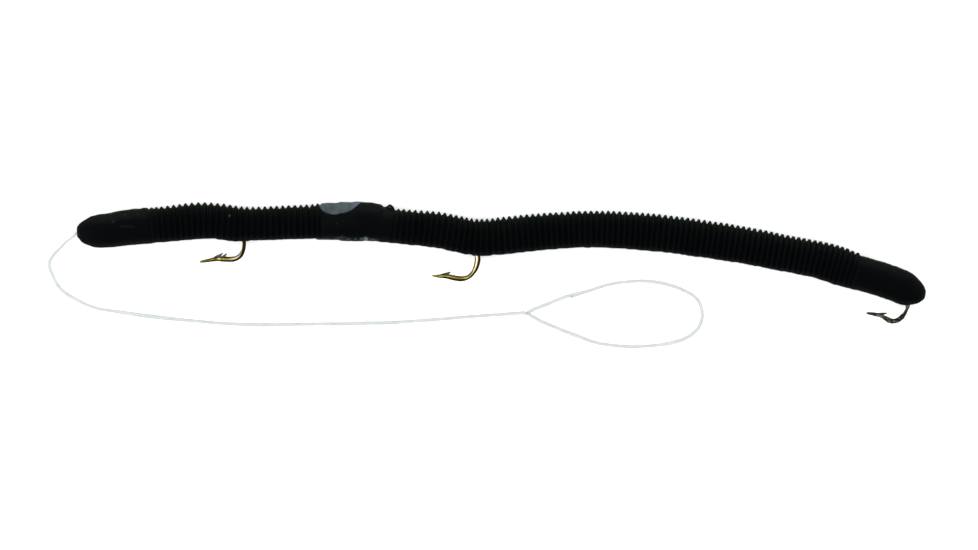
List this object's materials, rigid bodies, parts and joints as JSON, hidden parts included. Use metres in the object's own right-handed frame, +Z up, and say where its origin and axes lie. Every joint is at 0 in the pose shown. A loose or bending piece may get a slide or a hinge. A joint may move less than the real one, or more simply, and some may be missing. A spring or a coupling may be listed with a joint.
{
  "type": "soft plastic worm",
  "caption": "Ribbed black soft plastic fishing worm with small barbed hooks set along its belly and a clear line leader ending in a tied loop.",
  "frame": {"origin": "bottom centre of the whole object's box, on the surface that the worm lies on", "axes": "+X from nose to tail, +Y towards the ribbed back, so the hooks point towards -Y, +Z up"},
  "size_m": [0.1552, 0.0258, 0.0074],
  "materials": {
    "worm_plastic": "soft black plastisol, satin, smooth head and tail, moulded ribs",
    "hook_gold": "gold plated steel wire, bright",
    "hook_bronze": "tarnished bronzed steel wire",
    "mono_line": "clear monofilament, glossy"
  },
  "bodies": {
    "saddle": {"worm_saddle": "worm_plastic", "core_line_saddle": "mono_line"},
    "front": {"worm_front": "worm_plastic", "hook_front": "hook_gold", "snell_front": "mono_line", "core_line_front": "mono_line"},
    "head": {"worm_head": "worm_plastic", "core_line_head": "mono_line"},
    "mid": {"worm_mid": "worm_plastic", "hook_mid": "hook_gold", "snell_mid": "mono_line", "core_line_mid": "mono_line"},
    "rear_1": {"worm_rear_1": "worm_plastic", "core_line_rear_1": "mono_line"},
    "rear_2": {"worm_rear_2": "worm_plastic", "core_line_rear_2": "mono_line"},
    "rear_3": {"worm_rear_3": "worm_plastic", "core_line_rear_3": "mono_line"},
    "tail": {"worm_tail": "worm_plastic", "hook_rear": "hook_bronze", "snell_rear": "mono_line", "core_line_tag": "mono_line"},
    "lead_1": {"leader_1": "mono_line"},
    "lead_2": {"leader_2": "mono_line"},
    "lead_3": {"leader_3": "mono_line"},
    "lead_4": {"leader_4": "mono_line"},
    "lead_5": {"leader_5": "mono_line"},
    "lead_6": {"leader_6": "mono_line"},
    "loop_end": {"leader_loop": "mono_line", "loop_knot": "mono_line", "loop_tag": "mono_line"}
  },
  "joints": [
    {"name": "bend_front", "type": "hinge", "parent": "saddle", "child": "front", "pos_m": [-0.03916, 0.00913, 0.0033], "axis": [0, 0, -1], "range_deg": [-25, 25]},
    {"name": "bend_head", "type": "hinge", "parent": "front", "child": "head", "pos_m": [-0.06309, 0.00845, 0.0037], "axis": [0, 0, -1], "range_deg": [-18, 25]},
    {"name": "bend_mid", "type": "hinge", "parent": "saddle", "child": "mid", "pos_m": [-0.02021, 0.00936, 0.004], "axis": [0, 0, 1], "range_deg": [-25, 25]},
    {"name": "bend_rear_1", "type": "hinge", "parent": "mid", "child": "rear_1", "pos_m": [0.00336, 0.00694, 0.00402], "axis": [0, 0, 1], "range_deg": [-25, 25]},
    {"name": "bend_rear_2", "type": "hinge", "parent": "rear_1", "child": "rear_2", "pos_m": [0.02108, 0.00804, 0.00402], "axis": [0, 0, 1], "range_deg": [-25, 25]},
    {"name": "bend_rear_3", "type": "hinge", "parent": "rear_2", "child": "rear_3", "pos_m": [0.0388, 0.00632, 0.00402], "axis": [0, 0, 1], "range_deg": [-25, 25]},
    {"name": "bend_tail", "type": "hinge", "parent": "rear_3", "child": "tail", "pos_m": [0.05652, 0.00311, 0.00395], "axis": [0, 0, 1], "range_deg": [-25, 25]},
    {"name": "leader_exit", "type": "hinge", "parent": "head", "child": "lead_1", "pos_m": [-0.07236, 0.00729, 0.00374], "axis": [0, 0, 1], "range_deg": [-30, 10]},
    {"name": "leader_bend_1", "type": "hinge", "parent": "lead_1", "child": "lead_2", "pos_m": [-0.07744, 0.00156, 0.0002], "axis": [0, 0, 1], "range_deg": [-45, 10]},
    {"name": "leader_bend_2", "type": "hinge", "parent": "lead_2", "child": "lead_3", "pos_m": [-0.07283, -0.00436, 0.0002], "axis": [0, 0, 1], "range_deg": [-45, 10]},
    {"name": "leader_bend_3", "type": "hinge", "parent": "lead_3", "child": "lead_4", "pos_m": [-0.06132, -0.00717, 0.0002], "axis": [0, 0, 1], "range_deg": [-30, 10]},
    {"name": "leader_bend_4", "type": "hinge", "parent": "lead_4", "child": "lead_5", "pos_m": [-0.03828, -0.00884, 0.0002], "axis": [0, 0, 1], "range_deg": [-20, 10]},
    {"name": "leader_bend_5", "type": "hinge", "parent": "lead_5", "child": "lead_6", "pos_m": [-0.01524, -0.00834, 0.0002], "axis": [0, 0, 1], "range_deg": [-20, 10]},
    {"name": "loop_swing", "type": "hinge", "parent": "lead_6", "child": "loop_end", "pos_m": [0.00688, -0.00682, 0.0002], "axis": [0, 0, 1], "range_deg": [-30, 10]}
  ]
}
